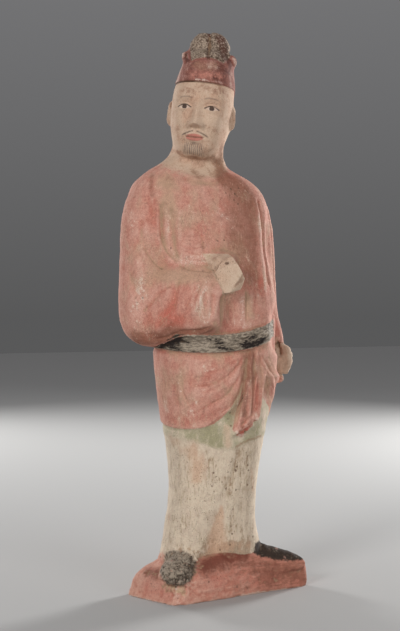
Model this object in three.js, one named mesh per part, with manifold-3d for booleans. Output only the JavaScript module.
// Tomb attendant figure in painted earthenware: a bearded man in a belted robe and a lobed cap,
// his right fist held before his chest, standing on a low hand-cut plinth. It is one moulded piece.
// Millimetres, +Z up. The origin is the middle of the plinth's underside, and its long front faces -Y.
import * as THREE from "three";
import { mergeVertices } from "three/addons/utils/BufferGeometryUtils.js";
import Module from "manifold-3d";

const wasm = await Module();
wasm.setup();

const degree = Math.PI / 180;

// Driving dimensions
const figureHeight = 575; // from the top of the plinth's edge to the top of the cap
const plinthLength = 174;
const plinthDepth = 80;
const plinthThickness = 25; // at its edge
const plinthMound = 20; // how far its top rises from the edge to the feet
const plinthBatter = 4; // how far its long sides lean in on the way up
const plinthEndBatter = 8; // and its end by the right foot; the other end is upright
const plinthEndDrop = 7; // that end's edge is cut this much lower
const plinthSkew = 10 * degree; // its ends are cut this far out of square
const plinthSquareness = 12; // the superellipse power of its outline: 2 is an oval, 9 has sharp corners
const figureOffset = new THREE.Vector2(-7, -1); // the figure's own axis, from the plinth's middle
const figureTurn = -12 * degree; // the body faces this far to its right of the plinth's front
const headTurn = -30 * degree; // the head turns this far to its right of the body
const headLean = 6.5 * degree; // and leans this far towards its left shoulder

// The body's stations are in millimetres for a figure 575 mm tall, and all of them grow with figureHeight.
const stature = figureHeight / 575;

// Colours of the painted clay
const clay = new THREE.MeshStandardMaterial({ color: 0xb0715f, roughness: 0.92, metalness: 0 });

// Tells the columns of rows such as [height, width, depth] at any height, smoothly and without overshoot.
function stationed(rows) {
  const slope = (i, c) => (rows[i + 1][c] - rows[i][c]) / (rows[i + 1][0] - rows[i][0]);
  const lean = (i, c) => {
    if (i === 0) return slope(0, c);
    if (i === rows.length - 1) return slope(i - 1, c);
    const before = slope(i - 1, c);
    const after = slope(i, c);
    return before * after > 0 ? (2 * before * after) / (before + after) : 0;
  };
  return (z) => {
    let i = 0;
    while (i < rows.length - 2 && z > rows[i + 1][0]) i++;
    const span = rows[i + 1][0] - rows[i][0];
    const t = THREE.MathUtils.clamp((z - rows[i][0]) / span, 0, 1);
    return rows[i].slice(1).map((value, k) => {
      const c = k + 1;
      const rise = rows[i + 1][c] - value;
      const start = span * lean(i, c);
      const end = span * lean(i + 1, c);
      return value + t * (start + t * (3 * rise - 2 * start - end + t * (start + end - 2 * rise)));
    });
  };
}

// The heights of a loft's rings: each gap between stations is cut into equal steps.
function ringHeights(rows, steps) {
  const heights = [rows[0][0]];
  for (let i = 1; i < rows.length; i++) {
    for (let k = 1; k <= steps; k++) {
      heights.push(rows[i - 1][0] + ((rows[i][0] - rows[i - 1][0]) * k) / steps);
    }
  }
  return heights;
}

// A closed shape becomes a solid once its shared vertices are merged.
function solid(shape) {
  shape.deleteAttribute("normal");
  shape.deleteAttribute("uv");
  const merged = mergeVertices(shape, 1e-3);
  const vertProperties = new Float32Array(merged.attributes.position.array);
  return new wasm.Manifold(
    new wasm.Mesh({ numProp: 3, vertProperties, triVerts: new Uint32Array(merged.index.array) }),
  );
}

// Moves each vertex of a shape to where place says.
function shaped(shape, place) {
  const at = shape.getAttribute("position");
  const point = new THREE.Vector3();
  for (let i = 0; i < at.count; i++) {
    const p = place(point.fromBufferAttribute(at, i));
    at.setXYZ(i, p.x, p.y, p.z);
  }
  return solid(shape);
}

// A closed loft. Turn runs round it from the front (0) to the figure's left (positive), each ring has its
// value from heights, and reach is 1 on the skin and 0 at the middle of either end.
function loft(sides, heights, place) {
  const rows = heights.length - 1;
  return shaped(new THREE.CylinderGeometry(1, 1, 1, sides, rows), (p) =>
    place(Math.atan2(p.x, p.z), heights[Math.round((p.y + 0.5) * rows)], Math.hypot(p.x, p.z)),
  );
}

// A point of a superellipse: power 2 is an ellipse, and more squares it off.
function ovalPoint(turn, width, depth, power) {
  const x = Math.sin(turn);
  const y = -Math.cos(turn);
  const r = (Math.abs(x) ** power + Math.abs(y) ** power) ** (-1 / power);
  return new THREE.Vector2(x * r * width, y * r * depth);
}

// An upright loft through stations [height, half width, half depth, middle x, middle y].
function column(sides, rows, steps, { power = 2, swell = () => 0, hang = (turn, z) => z } = {}) {
  const at = stationed(rows);
  return loft(sides, ringHeights(rows, steps), (turn, z, reach) => {
    const [width, depth, x, y] = at(z);
    const edge = ovalPoint(turn, width, depth, power);
    const out = reach * (1 + swell(turn, z) / edge.length());
    return new THREE.Vector3(x + edge.x * out, y + edge.y * out, hang(turn, z, reach));
  });
}

// A soft bump of height 1 round value 0, with the given half width.
const bump = (value, halfWidth) => Math.exp(-((value / halfWidth) ** 2));

// The turn from one direction to another, the short way round.
const turnFrom = (turn, middle) => Math.atan2(Math.sin(turn - middle), Math.cos(turn - middle));

// What a point of a sphere is multiplied by to square the sphere off.
function squaring(p, power) {
  return (Math.abs(p.x) ** power + Math.abs(p.y) ** power + Math.abs(p.z) ** power) ** (-1 / power);
}

// A rounded block or egg: half sizes along its own axes, squared off by power, at a place and a turn.
function blob(half, at, { power = 2, turn = [0, 0, 0], sides = 14, rows = 10 } = {}) {
  const spin = new THREE.Euler(...turn, "ZYX");
  return shaped(new THREE.SphereGeometry(1, sides, rows), (p) => {
    return new THREE.Vector3(p.x * half[0], p.y * half[1], p.z * half[2])
      .multiplyScalar(squaring(p, power))
      .applyEuler(spin)
      .add(new THREE.Vector3(...at));
  });
}

// The trousers: two legs in one moulded mass, with a hollow between them in front and behind. The under-robe
// steps out from them at its own hem.
const hemStep = 1.8;
const underHem = { front: 130, rise: 14, lowTurn: 22 * degree };
const legRows = [
  [-8, 58, 31, -3, 0],
  [8, 58, 31, -3.5, 0],
  [22, 55.5, 31.5, -3.5, 0],
  [40, 51, 33, -3.5, 0],
  [62, 48, 35, -3, -0.5],
  [85, 47, 36.5, -2, -1],
  [108, 49, 38, -0.5, -1],
  [underHem.front, 51, 39.8, 0.5, -1],
  [underHem.front + 0.5, 51 + hemStep, 39.8 + hemStep, 0.5, -1],
  [160, 57, 45.5, 1, 0],
  [192, 61.5, 48.5, 1.5, 0],
  [228, 63, 48, 2, 0],
];
const legHollow = { turn: -9 * degree, top: 104, width: 0.4, depth: 10, depthBehind: 6 };

function legs() {
  const swell = (turn, z) => {
    const open = THREE.MathUtils.smoothstep(legHollow.top - z, 0, legHollow.top);
    const front = bump(turnFrom(turn, legHollow.turn), legHollow.width * (0.35 + 0.65 * open));
    const behind = bump(turnFrom(turn, legHollow.turn + Math.PI), legHollow.width);
    return -open * (legHollow.depth * front + legHollow.depthBehind * behind);
  };
  const hang = (turn, z) => {
    const rise = (underHem.rise * (1 - Math.cos(turn - underHem.lowTurn))) / 2;
    const low = THREE.MathUtils.smoothstep(z, underHem.front / 2, underHem.front);
    return z + rise * low * (1 - THREE.MathUtils.smoothstep(z, 160, 192));
  };
  return column(40, legRows, 1, { power: 2.2, swell, hang });
}

// The robe's skirt. Its two fronts sweep up to the knot at the belt, so its hem is two long curves.
const skirtRows = [
  [128, 51, 40, 0.5, -1],
  [150, 54, 43, 0.5, -0.5],
  [170, 57.5, 46, 1, 0],
  [192, 61.5, 48.5, 1.5, 0],
  [215, 64.5, 50, 2, 0],
  [236, 65, 50, 2, 0],
  [252, 65, 49, 1, 0],
];
const skirtPower = 2.15;
const skirt = { thickness: 3, hemLow: 154, knotTurn: 19 * degree, knotHeight: 234, backRise: 8 };
const skirtFold = { count: 4, height: 1.6 };
const swagReach = { right: 44 * degree, left: 78 * degree };

function skirtHem(turn) {
  const away = turnFrom(turn, skirt.knotTurn);
  const climb = Math.max(0, 1 - Math.abs(away) / (away < 0 ? swagReach.right : swagReach.left));
  const behind = THREE.MathUtils.smoothstep(Math.abs(away), 80 * degree, 170 * degree);
  return skirt.hemLow + skirt.backRise * behind + (skirt.knotHeight - skirt.hemLow) * climb ** 1.8;
}

// A cloth sash in three rolls. It sags under the belly and rises over the left hip.
const sash = { low: 240, high: 262, lowTurn: -30 * degree, halfHeight: 10, depth: 3.8, roll: 2.6, rolls: 3 };

function sashMiddle(turn) {
  return THREE.MathUtils.lerp(sash.high, sash.low, 0.5 + 0.5 * Math.cos(turn - sash.lowTurn));
}

// Folds swing down from the knot, side by side with the hem, and die out round the hips.
function skirtFolds(turn, share) {
  const away = turnFrom(turn, skirt.knotTurn);
  const start = THREE.MathUtils.smoothstep(Math.abs(away), 0.05, 0.35);
  const fade = start * bump(away, 1.1) * Math.min(1, 5 - 5 * share);
  return skirtFold.height * Math.cos(share * skirtFold.count * 2 * Math.PI) * fade;
}

function robeSkirt() {
  const at = stationed(skirtRows);
  const rows = skirtFold.count * 2;
  const shares = Array.from({ length: rows + 1 }, (_, i) => i / rows);
  return loft(44, shares, (turn, share, reach) => {
    const hem = skirtHem(turn);
    const z = hem + (sashMiddle(turn) - hem) * share ** 1.25;
    const [width, depth, x, y] = at(z);
    const edge = ovalPoint(turn, width, depth, skirtPower);
    const out = reach * (1 + (skirt.thickness + skirtFolds(turn, share)) / edge.length());
    const middle = share === 0 ? skirtHem(Math.PI) : sash.low;
    return new THREE.Vector3(x + edge.x * out, y + edge.y * out, reach > 0.5 ? z : middle);
  });
}

// The knot's ends hang in front as a narrow pleated panel.
const panel = { topTurn: 22 * degree, bottomTurn: 15 * degree, top: 238, bottom: 143, slant: 20 };
const panelCloth = { halfWidth: 12, proud: 6.5, pleats: 2.5, pleatHeight: 1.2 };

function pleatedPanel() {
  const at = stationed(skirtRows);
  const steps = [0, 0.15, 0.4, 0.7, 1];
  return loft(20, steps, (turn, share, reach) => {
    const side = Math.sin(turn);
    const lowest = panel.bottom + (panel.slant * (side + 1)) / 2;
    const z = lowest + (panel.top - lowest) * share;
    const [width, depth, x, y] = at(Math.max(z, skirtRows[0][0]));
    const middle = THREE.MathUtils.lerp(panel.bottomTurn, panel.topTurn, share);
    const halfWidth = panelCloth.halfWidth * (1 - 0.25 * share);
    const where = ovalPoint(middle + (reach * side * halfWidth) / depth, width, depth, skirtPower);
    const pleat = Math.cos(side * panelCloth.pleats * Math.PI) * panelCloth.pleatHeight;
    const proud = Math.cos(turn) > 0 ? panelCloth.proud * (1 - 0.4 * share) + pleat : -panelCloth.proud;
    const out = 1 + (proud * reach) / where.length();
    return new THREE.Vector3(x + where.x * out, y + where.y * out, z);
  });
}

function belt() {
  const at = stationed(skirtRows);
  const rows = sash.rolls * 2;
  const shares = Array.from({ length: rows + 1 }, (_, i) => i / rows);
  return loft(40, shares, (turn, share, reach) => {
    const middle = sashMiddle(turn);
    const z = middle + (share * 2 - 1) * sash.halfHeight;
    const [width, depth, x, y] = at(middle);
    const edge = ovalPoint(turn, width, depth, skirtPower);
    const roll = Math.abs(Math.sin(share * sash.rolls * Math.PI));
    const out = 1 + (sash.depth + sash.roll * roll) / edge.length();
    return new THREE.Vector3(x + edge.x * out * reach, y + edge.y * out * reach, z);
  });
}

// The robe above the belt, up over the shoulders, and the neck that rises out of it into the head.
const torsoRows = [
  [236, 58, 43, 1, 0],
  [246, 64, 48, 1, 0],
  [253, 68.5, 52, 0, 0],
  [264, 70.5, 53, -1.5, 0.3],
  [286, 71.5, 53, -3, 1],
  [315, 71, 51, -6, 3],
  [345, 70.5, 48.5, -9, 6],
  [370, 73, 47, -12, 8],
  [390, 75.5, 45, -14.5, 10.5],
  [400, 74.5, 43, -15.5, 11.5],
  [409, 70.5, 40, -17, 12],
  [417, 62, 37, -18, 12],
  [425, 49, 33.5, -19, 12],
  [433, 36, 30, -19.5, 12],
  [440, 29.5, 27.5, -17.5, 10.8],
  [452, 27, 27.5, -14.5, 9],
  [470, 27, 27.5, -13, 7],
];
const armpit = { right: -50 * degree, left: 66 * degree, depth: 2.6, width: 0.2, low: 300, high: 385 };

function torso() {
  const swell = (turn, z) => {
    const tall = THREE.MathUtils.smoothstep(z, armpit.low - 30, armpit.low + 20);
    const deep = tall * (1 - THREE.MathUtils.smoothstep(z, armpit.high - 20, armpit.high + 12));
    const right = bump(turnFrom(turn, armpit.right), armpit.width);
    const left = bump(turnFrom(turn, armpit.left), armpit.width);
    return -armpit.depth * deep * (right + left);
  };
  const hang = (turn, z) => z + (sashMiddle(turn) - sash.low) * (1 - THREE.MathUtils.smoothstep(z, 240, 300));
  return column(40, torsoRows, 1, { power: 2.25, swell, hang });
}

// The right upper arm in its wide sleeve, down to the elbow.
const rightArmRows = [
  [238, 9, 9, -74, -8],
  [242, 17, 17, -76, -7],
  [251, 23.5, 24, -78, -4],
  [268, 26.5, 28, -79, -1],
  [295, 27, 29, -78.5, 2],
  [325, 26.5, 29, -77.5, 4],
  [352, 26, 28, -76, 6],
  [375, 25.5, 28, -73.5, 9],
  [392, 24, 27, -69, 11],
  [404, 20, 24, -63, 12],
  [413, 13, 16, -56, 12],
  [417, 5, 7, -52, 12],
];

// The forearm's sleeve is a deep bag from the elbow to the wrist:
// [share of the way, half thickness, top, bottom].
const bagStart = new THREE.Vector2(-79, 0);
const bagEnd = new THREE.Vector2(-16, -60);
const bagRows = [
  [0, 22, 303, 243],
  [0.12, 25.5, 313, 239.5],
  [0.28, 26.5, 320, 239.5],
  [0.44, 26, 323, 242],
  [0.6, 24.5, 322, 245.5],
  [0.76, 22, 319, 249.5],
  [0.88, 20, 316, 253],
  [0.96, 17.5, 313, 257],
  [1, 13, 308, 262],
];
const bagFolds = { count: 2.4, height: 2 };

function sleeveBag() {
  const at = stationed(bagRows);
  const along = bagEnd.clone().sub(bagStart);
  const across = new THREE.Vector2(-along.y, along.x).normalize();
  return loft(26, ringHeights(bagRows, 1), (turn, share, reach) => {
    const [thickness, top, bottom] = at(share);
    const edge = ovalPoint(turn, (top - bottom) / 2, thickness, 2.4);
    // Folds fall from the crook of the elbow towards the hem.
    const low = (1 - edge.x / (top - bottom)) * 0.5 + 0.5;
    const fold = Math.cos((share * 1.15 - low * 0.45) * bagFolds.count * 2 * Math.PI);
    const outside = Math.max(0, -edge.y / thickness);
    const push = bagFolds.height * fold * outside * bump(share - 0.55, 0.42);
    const middle = bagStart.clone().addScaledVector(along, share);
    middle.addScaledVector(across, (-edge.y + push) * reach * -1);
    return new THREE.Vector3(middle.x, middle.y, (top + bottom) / 2 - edge.x * reach);
  });
}

// The left arm hangs straight in a close sleeve that ends behind the hand.
const leftArmRows = [
  [240, 12, 14, 77, 17],
  [250, 15.5, 17, 72.5, 17],
  [275, 18.5, 20, 63, 17],
  [305, 21, 22, 57.5, 17],
  [340, 23, 24, 54, 16],
  [370, 24, 26, 46, 14],
  [392, 23, 25, 40.5, 12.5],
  [404, 18, 20, 34, 12],
  [412, 8, 10, 27, 12],
];
const leftCuffRows = [
  [195, 4, 3, 81, 22],
  [199, 7.5, 6, 81, 22],
  [222, 10, 8.5, 80, 22],
  [250, 11, 11, 75, 20],
];

// The hands: the right one a fist with its thumb side up, the left one hanging closed.
const rightHand = { at: [-9.5, -65, 311], half: [15.5, 13.5, 19.5], turn: [0, 24 * degree, -23 * degree] };
const leftHand = { at: [86, 12, 222], half: [13, 12, 17.5], turn: [0, 6 * degree, 0] };

// The head, about its own middle: [height, half width, half depth, middle x, middle y]. The face is a plain
// one: eyes halfway up the head, nose and mouth between them and the chin.
const headMiddle = new THREE.Vector3(-11.5, 3.5, 491);
const headRows = [
  [-55, 7, 7, 0, -23],
  [-52, 14.5, 13.5, 0, -19],
  [-46, 22, 22, 0, -13.5],
  [-36, 28.5, 31, 0, -5],
  [-22, 33, 37, 0, 0],
  [-6, 34.6, 39.5, 0, 2],
  [10, 34.6, 40, 0, 2.5],
  [24, 32.5, 39, 0, 3],
  [32, 28, 34, 0, 3.5],
];
const face = { eyeHeight: -4, eyeApart: 15, browHeight: 6, noseTip: -22, noseTop: 4, mouth: -35, chin: -49 };
const proud = { nose: 8, sockets: -2.6, brow: 1, lips: 2.4, chin: 1.6 };

function head() {
  const at = stationed(headRows);
  return loft(40, ringHeights(headRows, 2), (turn, z, reach) => {
    const [width, depth, x, y] = at(z);
    const edge = ovalPoint(turn, width, depth, 2.2);
    const side = edge.x;
    const front = Math.max(0, Math.cos(turn)) ** 2;
    const bridge = THREE.MathUtils.smoothstep(z, face.noseTip - 6, face.noseTip);
    const fall = 1 - THREE.MathUtils.smoothstep(z, face.noseTip, face.noseTop + 8) * 0.85;
    const nose = proud.nose * bridge * fall * bump(side, 4.5 + 3 * fall);
    const sockets = proud.sockets * bump(Math.abs(side) - face.eyeApart, 8) * bump(z - face.eyeHeight, 7);
    const brow = proud.brow * bump(z - face.browHeight, 6);
    const lips = proud.lips * bump(z - face.mouth, 5) * bump(side, 10);
    const chin = proud.chin * bump(z - face.chin, 6) * bump(side, 10);
    const out = reach * (1 + (front * (nose + sockets + brow + lips + chin)) / edge.length());
    return new THREE.Vector3(x + edge.x * out, y + edge.y * out, z);
  });
}

// The cap: a close band round the brow, a bun cleft in two above it and a small knot at each side.
const capRows = [
  [0, 34, 40.8, 0, 3],
  [4, 34.2, 41, 0, 3],
  [12, 32, 39.2, 0, 3.5],
  [22, 29.6, 36, 0, 4.5],
  [30, 26.5, 32.5, 0, 5.5],
  [36, 22, 27, 0, 6],
  [40, 15, 19, 0, 6],
];
const capHeight = capRows[capRows.length - 1][0];
const cap = { frontHeight: 23.5, backDrop: 24 };
const bun = { half: [21.5, 18, 20.5], at: [-1, 6, 64.5], power: 2.7, lean: 0.11 };
const cleft = { depth: 0.13, width: 4 };
const capKnot = { half: [6.5, 5.5, 8], at: [25, 4, 55] };
const ear = { half: [3.6, 8, 13], at: [34, 6, -7], tilt: -0.15, flare: 0.3 };

function capBand() {
  const drop = (turn) => cap.backDrop * THREE.MathUtils.smoothstep(Math.abs(turn), 95 * degree, 170 * degree);
  return column(32, capRows, 1, {
    power: 2.1,
    hang: (turn, z, reach) => cap.frontHeight + z - drop(turn) * (1 - z / capHeight) * reach,
  });
}

function capBun() {
  return shaped(new THREE.SphereGeometry(1, 24, 8), (p) => {
    const squared = squaring(p, bun.power);
    const x = p.x * squared * bun.half[0];
    const inward = 1 - cleft.depth * bump(x, cleft.width);
    const z = p.z * squared * bun.half[2] * inward + x * bun.lean;
    return new THREE.Vector3(bun.at[0] + x, bun.at[1] + p.y * squared * bun.half[1] * inward, bun.at[2] + z);
  });
}

// The two shoes point outwards, the left one further than the right, and each toe stops just inside its end
// of the plinth.
const shoes = [
  { heel: [-24, 0], turn: -40 * degree, toeGap: 5.3, toe: 23, taper: 0 },
  { heel: [24, 2], turn: 74 * degree, toeGap: 2.1, toe: 8, taper: 0.45 },
];
const shoe = { halfWidth: 18, height: 30, sole: 7, power: 2.4 };

function shoeLength({ heel, turn, toeGap }) {
  const start = new THREE.Vector2(...heel).rotateAround(new THREE.Vector2(), figureTurn);
  const reach = plinthLength / 2 - toeGap - Math.sign(turn) * (start.x * stature + figureOffset.x);
  return reach / Math.abs(Math.sin(turn + figureTurn)) / stature;
}

function footwear(design) {
  const { heel, turn, toe, taper } = design;
  const length = shoeLength(design);
  const along = new THREE.Vector2(Math.sin(turn), -Math.cos(turn));
  const across = new THREE.Vector2(Math.cos(turn), Math.sin(turn));
  return shaped(new THREE.SphereGeometry(1, 16, 11), (p) => {
    const squared = squaring(p, shoe.power);
    const share = (p.z * squared + 1) / 2;
    const height = THREE.MathUtils.lerp(shoe.height, toe, share ** 1.3);
    const width = shoe.halfWidth * (0.85 + 0.15 * Math.sin(Math.PI * share)) * (1 - taper * share ** 2);
    const x = p.x * squared * width;
    return new THREE.Vector3(
      heel[0] + along.x * length * share + across.x * x,
      heel[1] + along.y * length * share + across.y * x,
      p.y * squared * (p.y > 0 ? height : shoe.sole),
    );
  });
}

// The plinth: a thick slab with leaning sides and rounded corners. Its top swells up towards the feet,
// steeply at the front and back and slowly from the ends.
const plinthRings = [
  [0, 0],
  [0.5, 0],
  [1, 0],
  [1, 0.45],
  [1, 1],
  [0.96, 2],
  [0.9, 2],
  [0.8, 2],
  [0.6, 2],
  [0, 2],
];

// The edge's own height: the end by the right foot is cut lower.
function plinthEdge(x) {
  return plinthThickness - plinthEndDrop * Math.max(0, -x) ** 6;
}

function plinthTop(x, y) {
  const along = 1 - Math.min(1, Math.abs(x)) ** 2.4;
  const across = 1 - Math.min(1, Math.abs(y)) ** 12;
  return plinthEdge(x) + plinthMound * along * across;
}

function plinth() {
  const profile = plinthRings.map(([reach, level]) => new THREE.Vector2(reach, level));
  return shaped(new THREE.LatheGeometry(profile, 52), (p) => {
    const reach = Math.hypot(p.x, p.z);
    const turn = Math.atan2(p.x, p.z);
    const up = Math.min(1, p.y);
    const share = ovalPoint(turn, 1, 1, plinthSquareness).multiplyScalar(reach);
    const x = share.x * (plinthLength / 2 - (share.x < 0 ? plinthEndBatter * up : 0));
    const y = share.y * (plinthDepth / 2 - plinthBatter * up);
    const z = p.y > 1 ? plinthTop(share.x, share.y) : p.y * plinthEdge(share.x);
    return new THREE.Vector3(x - y * Math.tan(plinthSkew), y, z);
  });
}

// A part made about the head's own middle is turned and set on the neck.
function onHead(part) {
  const turned = new THREE.Matrix4()
    .makeRotationZ(headTurn)
    .multiply(new THREE.Matrix4().makeRotationY(headLean))
    .setPosition(headMiddle);
  return part.transform(turned.elements);
}

function headAndCap() {
  const parts = [head(), capBand(), capBun()];
  for (const side of [-1, 1]) {
    const beside = ([x, y, z]) => [side * x, y, z];
    const turn = [ear.tilt, 0, side * ear.flare];
    parts.push(blob(capKnot.half, beside(capKnot.at), { sides: 8, rows: 5 }));
    parts.push(blob(ear.half, beside(ear.at), { sides: 8, rows: 6, turn }));
  }
  return parts.map(onHead);
}

const figureParts = [
  legs(),
  robeSkirt(),
  pleatedPanel(),
  belt(),
  torso(),
  column(22, rightArmRows, 1),
  sleeveBag(),
  column(18, leftArmRows, 1),
  column(12, leftCuffRows, 1),
  blob(rightHand.half, rightHand.at, { power: 3.6, turn: rightHand.turn }),
  blob(leftHand.half, leftHand.at, { power: 2.4, turn: leftHand.turn, sides: 12, rows: 9 }),
  ...headAndCap(),
  ...shoes.map(footwear),
];

const standing = new THREE.Matrix4()
  .makeRotationZ(figureTurn)
  .scale(new THREE.Vector3(stature, stature, stature))
  .setPosition(figureOffset.x, figureOffset.y, plinthThickness);

const whole = figureParts
  .map((part) => part.transform(standing.elements))
  .reduce((joined, part) => joined.add(part), plinth());

// The joined solid as a mesh.
function meshOf(body, name, material) {
  const made = body.getMesh();
  const shape = new THREE.BufferGeometry();
  shape.setAttribute("position", new THREE.BufferAttribute(new Float32Array(made.vertProperties), 3));
  shape.setIndex(new THREE.BufferAttribute(new Uint32Array(made.triVerts), 1));
  shape.computeVertexNormals();
  const mesh = new THREE.Mesh(shape, material);
  mesh.name = name;
  return mesh;
}

const figure = new THREE.Group();
figure.add(meshOf(whole, "attendant_figure", clay));

export default figure;
